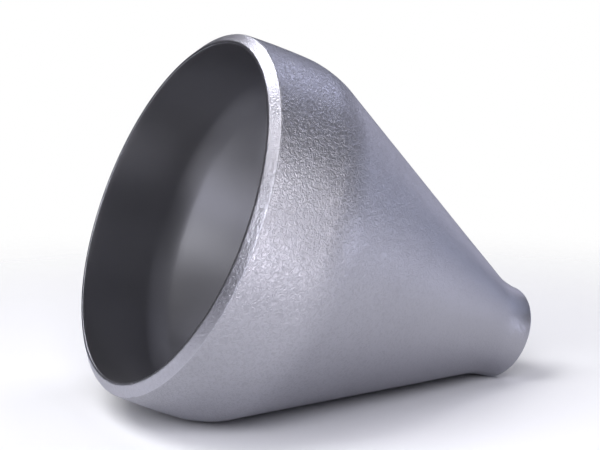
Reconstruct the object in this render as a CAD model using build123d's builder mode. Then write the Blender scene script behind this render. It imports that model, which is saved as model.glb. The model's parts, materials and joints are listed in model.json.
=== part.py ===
"""Concentric butt-weld pipe reducer, drawn as one meridian section and revolved.

Sizes are in millimetres and angles in degrees. The origin is the centre of the large end
face, and +Z runs along the flow axis to the small end.
"""
from build123d import *
from math import acos, atan2, degrees, radians, tan
import os

os.makedirs("parts", exist_ok=True)

# Pipe sizes that the two ends are welded to
large_outside_diameter = 76.1
small_outside_diameter = 21.3
large_wall = 2.6
small_wall = 3.6

# Length from end face to end face
overall_length = 90.0

# The pressed transition, measured on the outside of the fitting
large_collar_length = 15.2
collar_swell = 0.7
small_neck_length = 2.6
knuckle_radius = 17.8
flare_radius = 20.0

# Weld preparation, cut on both ends: a cone that starts from a flat land at the bore
weld_bevel_angle = 37.5
land_width = 0.6

large_radius = large_outside_diameter / 2
small_radius = small_outside_diameter / 2
large_bore_radius = large_radius - large_wall
small_bore_radius = small_radius - small_wall

# Pressing leaves the collar a little proud of the pipe size where the knuckle starts
swelled_radius = large_radius + collar_swell
neck_start = overall_length - small_neck_length

# The knuckle and the flare each bend about one centre, so the wall has the same bend
# centre on its outside and on its inside
knuckle_centre = Vector(swelled_radius - knuckle_radius, large_collar_length)
flare_centre = Vector(small_radius + flare_radius, neck_start)


def bevel_depth(wall):
    """How far along the axis the weld bevel reaches on an end with this wall."""
    return (wall - land_width) * tan(radians(weld_bevel_angle))


def transition(knuckle, flare):
    """Knuckle arc, straight cone and flare arc, each tangent to the next."""
    reach = flare_centre - knuckle_centre
    heading = degrees(atan2(reach.Y, reach.X))
    lean = heading - degrees(acos((knuckle + flare) / reach.length))
    knuckle_arc = CenterArc(knuckle_centre, knuckle, 0, lean)
    flare_arc = CenterArc(flare_centre, flare, 180, lean)
    Line(knuckle_arc @ 1, flare_arc @ 1)


with BuildPart() as reducer_body:
    with BuildSketch(Plane.XZ) as wall_section:
        with BuildLine() as wall_outline:
            # Large end: straight bore, land and bevel, then the collar that swells gently
            # outwards and meets the knuckle in line with the axis
            Polyline(
                (large_bore_radius, large_collar_length),
                (large_bore_radius, 0),
                (large_bore_radius + land_width, 0),
                (large_radius, bevel_depth(large_wall)),
            )
            TangentArc(
                (swelled_radius, large_collar_length),
                (large_radius, bevel_depth(large_wall)),
                tangent=(0, -1),
            )
            # Small end: the same preparation on the short neck
            Polyline(
                (small_radius, neck_start),
                (small_radius, overall_length - bevel_depth(small_wall)),
                (small_bore_radius + land_width, overall_length),
                (small_bore_radius, overall_length),
                (small_bore_radius, neck_start),
            )
            # The outside of the wall, then its inside
            transition(knuckle_radius, flare_radius)
            transition(knuckle_radius - collar_swell - large_wall, flare_radius + small_wall)
        make_face()
    revolve(axis=Axis.Z)

reducer_body.part.label = "reducer_body"
export_step(reducer_body.part, "parts/reducer_body.step")
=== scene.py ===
# %% [markdown]
# # A blasted steel pipe reducer
# A reducer joins a large pipe to a small one by welding. It is pressed from one length of
# pipe, so it is one wall all the way: a short collar, a rounded knuckle, a cone, and a flare
# that runs into a short neck. Both ends are turned to a weld bevel. In its own frame the part
# stands on its large end. In the picture it lies on its side with its mouth towards us, so
# the camera and the floor are turned round it, and the part itself never moves.

# %% Load the fixed frame
import json
import math

import bmesh
import bpy
from mathutils import Matrix, Vector, noise


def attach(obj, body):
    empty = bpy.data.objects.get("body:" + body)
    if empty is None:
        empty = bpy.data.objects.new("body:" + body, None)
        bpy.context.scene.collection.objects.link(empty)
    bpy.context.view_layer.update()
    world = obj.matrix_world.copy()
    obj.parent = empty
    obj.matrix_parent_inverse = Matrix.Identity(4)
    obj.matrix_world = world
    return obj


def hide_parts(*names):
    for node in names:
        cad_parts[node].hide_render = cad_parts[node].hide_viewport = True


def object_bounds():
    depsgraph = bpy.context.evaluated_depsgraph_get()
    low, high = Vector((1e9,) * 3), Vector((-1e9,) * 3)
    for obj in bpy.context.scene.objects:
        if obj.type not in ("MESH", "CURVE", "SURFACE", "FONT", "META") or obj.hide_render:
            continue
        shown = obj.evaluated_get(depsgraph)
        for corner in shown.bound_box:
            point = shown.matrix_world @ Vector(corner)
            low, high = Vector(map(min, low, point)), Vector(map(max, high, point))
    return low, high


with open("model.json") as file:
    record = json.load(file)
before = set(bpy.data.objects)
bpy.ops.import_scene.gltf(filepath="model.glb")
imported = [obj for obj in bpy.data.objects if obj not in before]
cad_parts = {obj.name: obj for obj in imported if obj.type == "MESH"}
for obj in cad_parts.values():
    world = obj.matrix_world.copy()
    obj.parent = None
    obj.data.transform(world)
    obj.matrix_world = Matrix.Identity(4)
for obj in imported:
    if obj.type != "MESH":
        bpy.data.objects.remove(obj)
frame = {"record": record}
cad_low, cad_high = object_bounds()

MM = 0.001
print("CAD box in mm", [round(side / MM, 2) for side in cad_high - cad_low])

# %% [markdown]
# ## The sizes
# The overall length and the widest radius come from the CAD box, and the bores from the
# mounts in the record. The rest are the forming sizes of the fitting: where the collar ends,
# how far it swells, how sharply the wall is bent and how the ends are cut. They are all in
# metres, as Blender wants them.

# %% Sizes of the fitting
mounts = {mount["name"]: mount for mount in frame["record"]["mounts"]}
large_bore = mounts["large_bore"]["dims"]["r_mm"] * MM
small_bore = mounts["small_bore"]["dims"]["r_mm"] * MM
collar_length = mounts["large_bore"]["dims"]["length_mm"] * MM
neck_length = mounts["small_bore"]["dims"]["length_mm"] * MM
overall_length = cad_high.z
swelled_radius = cad_high.x
large_radius = 38.05 * MM
small_radius = 10.65 * MM
knuckle_radius = 17.8 * MM
flare_radius = 20.0 * MM
land_width = 0.6 * MM
bevel_rise = math.tan(math.radians(37.5))
small_wall = small_radius - small_bore
large_bevel_depth = (large_radius - large_bore - land_width) * bevel_rise
small_bevel_depth = (small_wall - land_width) * bevel_rise
print("bevel depths in mm", round(large_bevel_depth / MM, 2), round(small_bevel_depth / MM, 2))

# %% [markdown]
# ## The bends in the wall
# Each face of the wall is a run of straight lines that meet in corners, and the corners are
# then rounded. Drawing them sharp and rounding them afterwards is how a draughtsman would do
# it, and it lets one bevel operator make every curve. What it needs is where the sharp
# corners lie, and how far back from them each curve starts.

# %% Where the sharp corners lie
knuckle_centre = Vector((swelled_radius - knuckle_radius, collar_length))
flare_centre = Vector((small_radius + flare_radius, overall_length - neck_length))


def bend(knuckle, flare):
    """Heights of the knuckle's and the flare's sharp corner, and how far each is cut."""
    reach = flare_centre - knuckle_centre
    lean = math.atan2(reach.y, reach.x) - math.acos((knuckle + flare) / reach.length)
    knuckle_cut = knuckle * math.tan(lean / 2)
    flare_cut = flare * math.tan(lean / 2)
    return collar_length + knuckle_cut, flare_centre.y - flare_cut, knuckle_cut, flare_cut


outer_bend = bend(knuckle_radius, flare_radius)
inner_bend = bend(knuckle_radius - (swelled_radius - large_bore), flare_radius + small_wall)

collar_run = collar_length - large_bevel_depth
swell = swelled_radius - large_radius
swell_arc_radius = (collar_run ** 2 + swell ** 2) / (2 * swell)
swell_cut = swell_arc_radius * math.tan(math.asin(collar_run / swell_arc_radius) / 2)
print("swell arc in mm", round(swell_arc_radius / MM, 1), "cut", round(swell_cut / MM, 2))

# %% [markdown]
# ## The section of the wall
# The section is a closed loop of eleven corners. On the real fitting no turned edge is left
# knife sharp: blasting rounds it by a tenth or two of a millimetre, and that hairline is
# what catches the light along the rim. So the bends get a wide vertex bevel with many
# segments, and the turned edges a tiny one.

# %% Draw the section as a loop of corners and round them
outer_edge_round = 0.22 * MM
inner_edge_round = 0.16 * MM
bend_segments = 14
edge_segments = 3
nearly_all = 0.98
section_corners = [
    (large_bore, 0, inner_edge_round, edge_segments),
    (large_bore + land_width, 0, inner_edge_round, edge_segments),
    (large_radius, large_bevel_depth, outer_edge_round, edge_segments),
    (swelled_radius, collar_length - swell_cut, swell_cut * nearly_all, bend_segments),
    (swelled_radius, outer_bend[0], outer_bend[2] * nearly_all, bend_segments),
    (small_radius, outer_bend[1], outer_bend[3], bend_segments),
    (small_radius, overall_length - small_bevel_depth, outer_edge_round, edge_segments),
    (small_bore + land_width, overall_length, inner_edge_round, edge_segments),
    (small_bore, overall_length, inner_edge_round, edge_segments),
    (small_bore, inner_bend[1], inner_bend[3], bend_segments),
    (large_bore, inner_bend[0], inner_bend[2], bend_segments),
]

wall = bmesh.new()
corners = [wall.verts.new((radius, 0, height)) for radius, height, _, _ in section_corners]
for start, end in zip(corners, corners[1:] + corners[:1]):
    wall.edges.new((start, end))
for corner, (_, _, cut, segments) in zip(corners, section_corners):
    bmesh.ops.bevel(wall, geom=[corner], offset=cut, offset_type="OFFSET",
                    segments=segments, profile=0.5, affect="VERTICES", material=-1)
print("section points after rounding", len(wall.verts))

# %% [markdown]
# ## Rings along the section
# The straight runs need rings too, so that the wall can be given a slight unevenness, and so
# that the shading doesn't smear from a rounded edge across a flat. Each run is cut into
# steps: fine on the turned ends and just past the large bevel, coarser along the rest.

# %% Cut the long runs into rings
wall_step = 1.2 * MM
turned_step = 0.35 * MM
fine_end = large_bevel_depth * 1.6
fine_start = overall_length - small_bevel_depth


def on_turned_end(height):
    """Whether this height is on a turned end, or on the collar just past the bevel."""
    return height < fine_end or height > fine_start


for run in wall.edges[:]:
    middle = (run.verts[0].co + run.verts[1].co) / 2
    step = turned_step if on_turned_end(middle.z) else wall_step
    cuts = int(run.calc_length() / step)
    if cuts:
        bmesh.ops.subdivide_edges(wall, edges=[run], cuts=cuts)
print("section points with rings", len(wall.verts))

# %% [markdown]
# ## Spin the wall
# The fitting is a body of revolution, so one spin makes it. The loop is closed and the turn
# is full with use_merge, so the skin is closed too. A spin can leave the faces inside out,
# so the normals are worked out again, and a positive volume shows that they point outwards.

# %% Spin the section round the flow axis
spin_steps = 320
merge_distance = 0.001 * MM
bmesh.ops.spin(wall, geom=wall.verts[:] + wall.edges[:], cent=(0, 0, 0), axis=(0, 0, 1),
               dvec=(0, 0, 0), angle=math.tau, steps=spin_steps, use_merge=True,
               use_duplicate=False)
bmesh.ops.remove_doubles(wall, verts=wall.verts[:], dist=merge_distance)
bmesh.ops.recalc_face_normals(wall, faces=wall.faces[:])
print("triangles", 2 * len(wall.faces), "volume in cm3",
      round(wall.calc_volume(signed=True) * 1e6, 2))

# %% [markdown]
# ## Name the three surfaces
# A reducer has three different skins. The outside was formed and then shot blasted, the ends
# were cut bright on a lathe, and the inside still has its smooth, darker rolled skin. The
# three could be told apart by a mask in one material, but the borders are real edges, so
# each face simply gets the number of its own material.

# %% Sort the faces into outside, turned ends and inside
OUTSIDE, TURNED, INSIDE = range(3)
bore_edge = 0.3 * inner_edge_round


def skin_of(face):
    """Which of the three surfaces a face belongs to."""
    middle = face.calc_center_median()
    radius = middle.xy.length
    at_large_end = middle.z < large_bevel_depth
    at_small_end = middle.z > overall_length - small_bevel_depth
    if at_large_end and radius > large_bore + bore_edge:
        return TURNED
    if at_small_end and radius > small_bore + bore_edge:
        return TURNED
    return OUTSIDE if face.normal.xy.dot(middle.xy) > 0 else INSIDE


for face in wall.faces:
    face.material_index = skin_of(face)
    face.smooth = True
print("faces of each skin", [sum(face.material_index == skin for face in wall.faces)
                             for skin in (OUTSIDE, TURNED, INSIDE)])

# %% [markdown]
# ## The unevenness of a pressed wall
# A pressed wall is never quite true. It is a few hundredths of a millimetre out of round and
# has faint hollows where the dies bore on it, and the reflections wander along them. The
# inner edge of the mouth also keeps a ragged burr in places, and there is one small nick in
# the outer edge of the bevel. All of this is in the mesh, because it changes the outline.

# %% Push the points a little along their normals
hollow_depth = 0.07 * MM
hollow_size = 14 * MM
burr_depth = 0.09 * MM
burr_size = 1.3 * MM
burr_reach = 0.5 * MM
nick_depth = 0.55 * MM
nick_radius = 1.1 * MM
nick_angle = math.radians(-18.5)
nick_place = Vector((large_radius * math.cos(nick_angle), large_radius * math.sin(nick_angle),
                     large_bevel_depth))


def fall_off(distance, reach):
    """One at the place itself, and nothing past its reach."""
    return max(0.0, 1 - distance / reach) ** 2


for point in wall.verts:
    hollow = noise.noise(point.co / hollow_size) * hollow_depth
    rim_distance = math.hypot(point.co.xy.length - large_bore, point.co.z)
    burr = fall_off(rim_distance, burr_reach) * noise.noise(point.co / burr_size) * burr_depth
    nick = fall_off((point.co - nick_place).length, nick_radius) * nick_depth
    point.co += point.normal * (hollow + burr - nick)
print("burr and hollows on", len(wall.verts), "points")

# %% [markdown]
# ## One piece for one solid
# The wall is one piece of steel, so it becomes one object. It rides on the root body and takes
# the place of the CAD solid. The object stays at the origin.

# %% Make it the piece that stands for the CAD solid
reducer_mesh = bpy.data.meshes.new("reducer_wall")
wall.to_mesh(reducer_mesh)
wall.free()
reducer = bpy.data.objects.new("reducer_wall", reducer_mesh)
bpy.context.scene.collection.objects.link(reducer)
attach(reducer, "root")
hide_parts("reducer_body")

# %% [markdown]
# ## Shader maths that reads like maths
# Every finish below is worked out from a few patterns and the height along the part. Wiring
# Math nodes by hand hides the sum that they make, so a small class wraps a socket and turns
# the signs + - * into nodes. Any other node comes from one method, which sets the node's
# options first and then fills or links its sockets.

# %% A value in a shader, and a finish that holds its nodes


class Value:
    """The output of a node, which can be used in a sum."""

    def __init__(self, finish, socket):
        self.finish = finish
        self.socket = socket

    def maths(self, operation, first, second):
        return self.finish.node("ShaderNodeMath", {"operation": operation}, {0: first, 1: second})

    def __add__(self, other):
        return self.maths("ADD", self, other)

    def __radd__(self, other):
        return self.maths("ADD", other, self)

    def __sub__(self, other):
        return self.maths("SUBTRACT", self, other)

    def __rsub__(self, other):
        return self.maths("SUBTRACT", other, self)

    def __mul__(self, other):
        return self.maths("MULTIPLY", self, other)

    def __rmul__(self, other):
        return self.maths("MULTIPLY", other, self)

    def __abs__(self):
        return self.maths("ABSOLUTE", self, 0.0)


class Finish:
    """A material, its Principled shader and the nodes that feed it."""

    def __init__(self, name, constants):
        self.material = bpy.data.materials.new(name)
        self.material.use_nodes = True
        self.tree = self.material.node_tree
        self.shader = self.tree.nodes["Principled BSDF"]
        for socket, value in constants.items():
            self.shader.inputs[socket].default_value = value
        self.place = self.node("ShaderNodeTexCoord", {}, {}, "Object")

    def node(self, kind, options, inputs, output=0):
        """Add a node: its options first, then a value or a link for each socket."""
        made = self.tree.nodes.new(kind)
        for option, value in options.items():
            setattr(made, option, value)
        for socket, value in inputs.items():
            self.fill(made.inputs[socket], value)
        return Value(self, made.outputs[output])

    def fill(self, socket, value):
        if isinstance(value, Value):
            self.tree.links.new(value.socket, socket)
        else:
            socket.default_value = value

    def feed(self, socket, value):
        """Feed one of the Principled shader's own sockets."""
        self.fill(self.shader.inputs[socket], value)

    def grain(self, size, detail=2.0, roughness=0.5, distortion=0.0):
        """Noise whose lumps are about this size in metres, from 0 to 1."""
        return self.node("ShaderNodeTexNoise", {}, {
            "Vector": self.place, "Scale": 1 / size, "Detail": detail,
            "Roughness": roughness, "Distortion": distortion})

    def between(self, value, low, high):
        """0 below low, 1 above high and smooth between them."""
        return self.node("ShaderNodeMapRange", {"interpolation_type": "SMOOTHSTEP"}, {
            "Value": value, "From Min": low, "From Max": high})

    def mix(self, factor, first, second):
        """A colour between two colours."""
        return self.node("ShaderNodeMix", {"data_type": "RGBA"},
                         {0: factor, 6: first, 7: second}, 2)

    def bump(self, height, distance, strength):
        return self.node("ShaderNodeBump", {}, {
            "Height": height, "Distance": distance, "Strength": strength}, "Normal")

    def axes(self):
        """The radius from the flow axis and the height along it."""
        split = self.node("ShaderNodeSeparateXYZ", {}, {"Vector": self.place})
        across, along, height = (Value(self, out) for out in split.socket.node.outputs)
        squared = across * across + along * along
        return self.node("ShaderNodeMath", {"operation": "SQRT"}, {0: squared}), height


# %% [markdown]
# ## The blasted outside
# Shot blasting leaves hot-formed steel matt and slightly blue, with a skin like fine orange
# peel: short crooked ridges under a millimetre long. The ridges could be displaced geometry,
# but they are far finer than the mesh, so they are bump. The wall was stretched least at the
# large end, so the skin is coarsest there and smoother towards the neck. The ridge tops are
# also lighter in the base colour: partly worn bright, and partly a painted glint of light on
# them, which fades towards the neck with the skin.

# %% Blasted steel
blasted_dark = (0.43, 0.43, 0.47, 1)
blasted_pale = (0.60, 0.60, 0.65, 1)
ridge_size = 0.85 * MM
ridge_width = 0.26
peel_size = 1.6 * MM
peel_depth = 0.066 * MM
cloud_size = 16 * MM
coarse_until = 18 * MM
smooth_from = 70 * MM

blasted = Finish("blasted_steel", {"Metallic": 0.85})
_, height = blasted.axes()
wrinkle = blasted.grain(ridge_size, detail=2.5, roughness=0.6, distortion=0.8)
ridge = 1 - blasted.between(abs(wrinkle * 2 - 1), 0.0, ridge_width)
peel = blasted.grain(peel_size, detail=2.0)
cloud = blasted.grain(cloud_size, detail=3.0)
coarse = 1 - blasted.between(height, coarse_until, smooth_from) * 0.7
# The ridge term lightens the base colour on the ridge tops: partly wear, partly a painted glint.
tone_and_painted_glint = 0.3 + cloud * 0.4 + ridge * coarse * 0.35
blasted.feed("Normal", blasted.bump((ridge * 0.7 + peel) * coarse, peel_depth, 1.0))
blasted.feed("Base Color", blasted.mix(tone_and_painted_glint, blasted_dark, blasted_pale))
blasted.feed("Roughness", 0.36 + cloud * 0.08 - ridge * coarse * 0.04)

# %% [markdown]
# ## The turned ends
# The bevel and the land were cut on a lathe after forming, so they are the brightest metal on
# the part, with faint rings left by the tool, about a fifth of a millimetre apart. The
# blasting has since dulled them a little.

# %% Turned steel
turned_dark = (0.60, 0.60, 0.66, 1)
turned_pale = (0.82, 0.82, 0.90, 1)
ring_radians_per_metre = 24000.0
frost_size = 0.6 * MM
frost_depth = 0.11 * MM

turned = Finish("turned_steel", {"Metallic": 0.9})
radius, height = turned.axes()
tool_rings = turned.node("ShaderNodeMath", {"operation": "SINE"},
                         {0: (radius + height) * ring_radians_per_metre})
frost = turned.grain(frost_size, detail=3.0, roughness=0.65, distortion=0.6)
turned.feed("Normal", turned.bump(frost + tool_rings * 0.04, frost_depth, 1.0))
turned.feed("Base Color", turned.mix(frost, turned_dark, turned_pale))
turned.feed("Roughness", 0.27 + frost * 0.12)

# %% [markdown]
# ## The inside skin
# Inside, the rolled skin of the pipe is left as it was: smooth, even and darker, because the
# shot hardly reaches it.

# %% Rolled steel
rolled_dark = (0.35, 0.35, 0.37, 1)
rolled_pale = (0.43, 0.43, 0.45, 1)
scale_size = 0.8 * MM
scale_depth = 0.02 * MM
stain_size = 20 * MM

rolled = Finish("rolled_steel", {"Metallic": 1.0})
stain = rolled.grain(stain_size, detail=2.0)
rolled.feed("Normal", rolled.bump(rolled.grain(scale_size), scale_depth, 0.4))
rolled.feed("Base Color", rolled.mix(stain, rolled_dark, rolled_pale))
rolled.feed("Roughness", 0.33 + stain * 0.06)

for finish in (blasted, turned, rolled):
    reducer_mesh.materials.append(finish.material)
print("finishes", [slot.name for slot in reducer_mesh.materials])

# %% [markdown]
# ## The floor it lies on
# Lying down, the reducer touches the floor in two places: on its knuckle and on the edge of
# its small end. In the part's own frame that floor is a plane that leans against the side of
# the part, so it is placed by the line through those two places.

# %% Where the floor touches
floor_side = math.radians(-1.3)
edge_height = overall_length - small_bevel_depth
to_edge = Vector((small_radius, edge_height)) - knuckle_centre
floor_lean = math.atan2(to_edge.y, to_edge.x) - math.acos(knuckle_radius / to_edge.length)
side = Vector((math.cos(floor_side), math.sin(floor_side), 0))
floor_up = -(side * math.cos(floor_lean) + Vector((0, 0, math.sin(floor_lean))))
floor_point = side * small_radius + Vector((0, 0, edge_height))
print("floor leans by", round(math.degrees(floor_lean), 2), "degrees")

# %% [markdown]
# ## The camera
# The camera looks into the mouth from the large end's side, a little above the floor. Its
# place was found by fitting the outlines of the rim, the cone and the small end. It is level
# with the floor, so its upward direction is the floor's.

# %% Camera
camera_place = Vector((0, -262.51, -115.06)) * MM
camera_forward = Vector((-0.02185, 0.87581, 0.48217)).normalized()
focal_pixels = 1433.8
picture_width = 600
sensor_width = 36
camera_right = camera_forward.cross(floor_up).normalized()
camera_up = camera_right.cross(camera_forward)
camera = bpy.data.objects.new("camera", bpy.data.cameras.new("camera"))
camera.data.sensor_width = sensor_width
camera.data.lens = focal_pixels * sensor_width / picture_width
camera.data.clip_start = 10 * MM
turn = Matrix((camera_right, camera_up, -camera_forward)).transposed().to_4x4()
camera.matrix_world = Matrix.Translation(camera_place) @ turn
bpy.context.scene.collection.objects.link(camera)
bpy.context.scene.camera = camera
print("lens in mm", round(camera.data.lens, 1))

# %% [markdown]
# ## The paper floor
# The part lies on a plain sheet of paper, which is a single square laid on the plane that was
# found above. A real studio bends the paper up behind the part to hide its edge. Here the
# sheet fades out into the white world instead, and it can't be seen from below, so it never
# hides the part in a view from the other side. The picture burns the paper out to white, while
# the steel is lit by less of it, so the sheet is duller for every ray but the camera's own.

# %% A sheet of paper
floor_front = camera_right.cross(floor_up)
floor_size = 3.0
floor_middle = (floor_point + side * swelled_radius) / 2
solid_floor = 90 * MM
floor_end = 260 * MM
burnt_out_paper = (0.86, 0.86, 0.87, 1)
dull_paper = (0.51, 0.51, 0.53, 1)

sheet = bmesh.new()
bmesh.ops.create_grid(sheet, x_segments=1, y_segments=1, size=floor_size / 2)
floor_turn = Matrix((camera_right, -floor_front, floor_up)).transposed().to_4x4()
bmesh.ops.transform(sheet, matrix=Matrix.Translation(floor_point) @ floor_turn,
                    verts=sheet.verts[:])
floor_mesh = bpy.data.meshes.new("floor")
sheet.to_mesh(floor_mesh)
sheet.free()
floor = bpy.data.objects.new("floor", floor_mesh)
bpy.context.scene.collection.objects.link(floor)

paper = Finish("paper", {"Roughness": 1.0, "Specular IOR Level": 0.0})
distance = paper.node("ShaderNodeVectorMath", {"operation": "DISTANCE"},
                      {0: paper.place, 1: floor_middle}, 1)
from_below = paper.node("ShaderNodeNewGeometry", {}, {}, "Backfacing")
seen_directly = paper.node("ShaderNodeLightPath", {}, {}, "Is Camera Ray")
paper.feed("Base Color", paper.mix(seen_directly, dull_paper, burnt_out_paper))
paper.feed("Alpha", (1 - paper.between(distance, solid_floor, floor_end)) * (1 - from_below))
floor_mesh.materials.append(paper.material)
print("paper solid to", round(solid_floor / MM), "mm and gone at", round(floor_end / MM), "mm")

# %% [markdown]
# ## The white surround
# The background is plain white. The steel must not see it, or it would be lit from everywhere
# and lose its form, so only the camera's own rays meet the white and all others meet black.

# %% World
world = bpy.data.worlds.new("studio")
bpy.context.scene.world = world
world.use_nodes = True
background = world.node_tree.nodes["Background"]
background.inputs["Color"].default_value = (1, 1, 1, 1)
rays = world.node_tree.nodes.new("ShaderNodeLightPath")
world.node_tree.links.new(rays.outputs["Is Camera Ray"], background.inputs["Strength"])
bpy.context.scene.view_settings.view_transform = "Standard"

# %% [markdown]
# ## The soft boxes
# Blasted steel is a blurred mirror: what we see on it is the studio, smeared out. So its look
# is made by where the soft boxes stand and how strong each one is. Each row says how far round
# the part a box stands, with 0 towards us and 90 to the right, how high it is above the floor,
# and its power in each of red, green and blue. Those behind and beside the part are a little
# blue, like daylight from a window. The three table glows stand below the floor line, past the
# end of the paper: they are the bright table round the part, which the steel mirrors too. The
# paper has boxes of its own. Light linking keeps each light to its own object, so the paper
# can be burnt out without spoiling the steel.

# %% Soft boxes for the steel and for the paper
part_middle = Vector((0, 0, 40 * MM))
steel_boxes = [
    ("back_top_box", 215, 62, (1.15, 1.14, 1.20)),
    ("front_left_box", 345, 26, (1.08, 1.08, 1.15)),
    ("table_glow_front", 30, -10, (1.12, 1.08, 1.16)),
    ("front_right_box", 45, 26, (0.75, 0.73, 0.76)),
    ("left_top_box", 318, 62, (0.58, 0.57, 0.58)),
    ("table_glow_right", 90, -10, (0.40, 0.41, 0.50)),
    ("back_right_box", 149, 44, (0.26, 0.27, 0.35)),
    ("level_front_box", 345, 0, (0.28, 0.28, 0.33)),
    ("low_back_box", 150, 10, (0.13, 0.13, 0.16)),
    ("low_side_box", 120, 10, (0.10, 0.11, 0.15)),
    ("table_glow_back", 120, -10, (0.11, 0.11, 0.13)),
]
paper_boxes = [
    ("paper_left_box", 300, 60, (6.70, 6.70, 6.75)),
    ("paper_front_box", 0, 30, (6.20, 6.20, 6.80)),
    ("paper_low_left_box", 315, 30, (3.35, 3.35, 3.50)),
    ("paper_right_box", 120, 60, (2.54, 2.52, 2.77)),
]


def soft_box(name, round_angle, height_angle, watts, distance, size, lit):
    """A square area light that points near the middle of the part and lights one object."""
    turned_round = math.radians(round_angle)
    raised = math.radians(height_angle)
    level = camera_right * math.sin(turned_round) + floor_front * math.cos(turned_round)
    away = level * math.cos(raised) + floor_up * math.sin(raised)
    light = bpy.data.objects.new(name, bpy.data.lights.new(name, "AREA"))
    light.data.shape = "SQUARE"
    light.data.size = size
    light.data.energy = max(watts)
    light.data.color = [watt / max(watts) for watt in watts]
    light.matrix_world = (Matrix.Translation(part_middle + away * distance)
                          @ away.to_track_quat("Z", "Y").to_matrix().to_4x4())
    bpy.context.scene.collection.objects.link(light)
    light.light_linking.receiver_collection = bpy.data.collections.new(name)
    light.light_linking.receiver_collection.objects.link(lit)


for row in steel_boxes:
    soft_box(*row, distance=0.6, size=0.22, lit=reducer)
for row in paper_boxes:
    soft_box(*row, distance=1.0, size=0.55, lit=floor)
print("soft boxes", len(steel_boxes) + len(paper_boxes))
